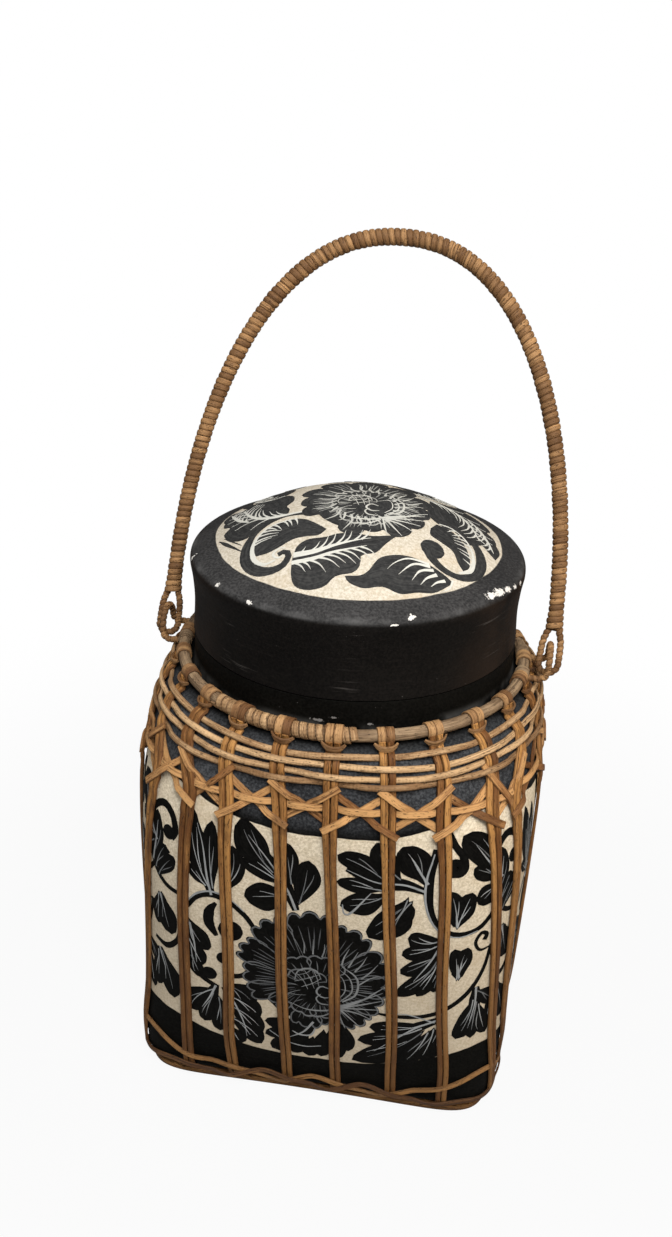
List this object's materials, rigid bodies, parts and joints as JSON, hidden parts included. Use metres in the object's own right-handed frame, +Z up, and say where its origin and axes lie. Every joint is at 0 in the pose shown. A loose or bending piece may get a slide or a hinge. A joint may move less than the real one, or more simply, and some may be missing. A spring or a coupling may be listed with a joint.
{
  "type": "sticky rice basket",
  "caption": "Square-footed lacquered rice basket with a round neck, a lift-off domed lid, a net of split rattan canes hung from a rim hoop and a swinging cane-wrapped bail handle.",
  "frame": {"origin": "middle of the bounding box's bottom, on the ground under the basket's centre line", "axes": "+Z up the basket's centre line, +X to the right along the front face and the handle's hinge line, +Y towards the back"},
  "size_m": [0.1863, 0.1862, 0.3664],
  "materials": {
    "black_lacquer": "matt charcoal lacquer over woven bamboo",
    "woven_bamboo": "bare woven bamboo",
    "split_rattan": "light split rattan, satin",
    "rattan_strip": "orange-brown flat rattan strip, satin",
    "handle_cane": "mid-brown wrapped cane, satin"
  },
  "bodies": {
    "basket": {"body_shell": "black_lacquer", "inner_basket": "woven_bamboo", "rim_hoop": "split_rattan", "hoop_binding": "split_rattan", "weaver_1": "split_rattan", "weaver_2": "split_rattan", "weaver_3": "split_rattan", "weaver_4": "split_rattan", "band_zigzag_a": "rattan_strip", "band_zigzag_b": "rattan_strip", "band_bar": "rattan_strip", "edging_a": "rattan_strip", "edging_b": "rattan_strip", "foot_strip": "split_rattan", "ear_left": "handle_cane", "ear_right": "handle_cane", "stake_01": "split_rattan", "stake_02": "split_rattan", "stake_03": "split_rattan", "stake_04": "split_rattan", "stake_05": "split_rattan", "stake_06": "split_rattan", "stake_07": "split_rattan", "stake_08": "split_rattan", "stake_09": "split_rattan", "stake_10": "split_rattan", "stake_11": "split_rattan", "stake_12": "split_rattan", "stake_13": "split_rattan", "stake_14": "split_rattan", "stake_15": "split_rattan", "stake_16": "split_rattan", "stake_17": "split_rattan", "stake_18": "split_rattan", "stake_19": "split_rattan", "stake_20": "split_rattan", "stake_21": "split_rattan", "stake_22": "split_rattan", "stake_23": "split_rattan", "stake_24": "split_rattan"},
    "lid": {"lid_shell": "black_lacquer", "lid_lining": "woven_bamboo"},
    "handle": {"handle_core": "handle_cane", "handle_wrap": "handle_cane", "handle_eye_left": "handle_cane", "handle_eye_right": "handle_cane"}
  },
  "joints": [
    {"name": "lid_lift", "type": "slide", "parent": "basket", "child": "lid", "axis": [0, 0, 1], "range_m": [0, 0.045]},
    {"name": "handle_swing", "type": "hinge", "parent": "basket", "child": "handle", "pos_m": [0, 0, 0.2055], "axis": [1, 0, 0], "range_deg": [-66, 113]}
  ]
}
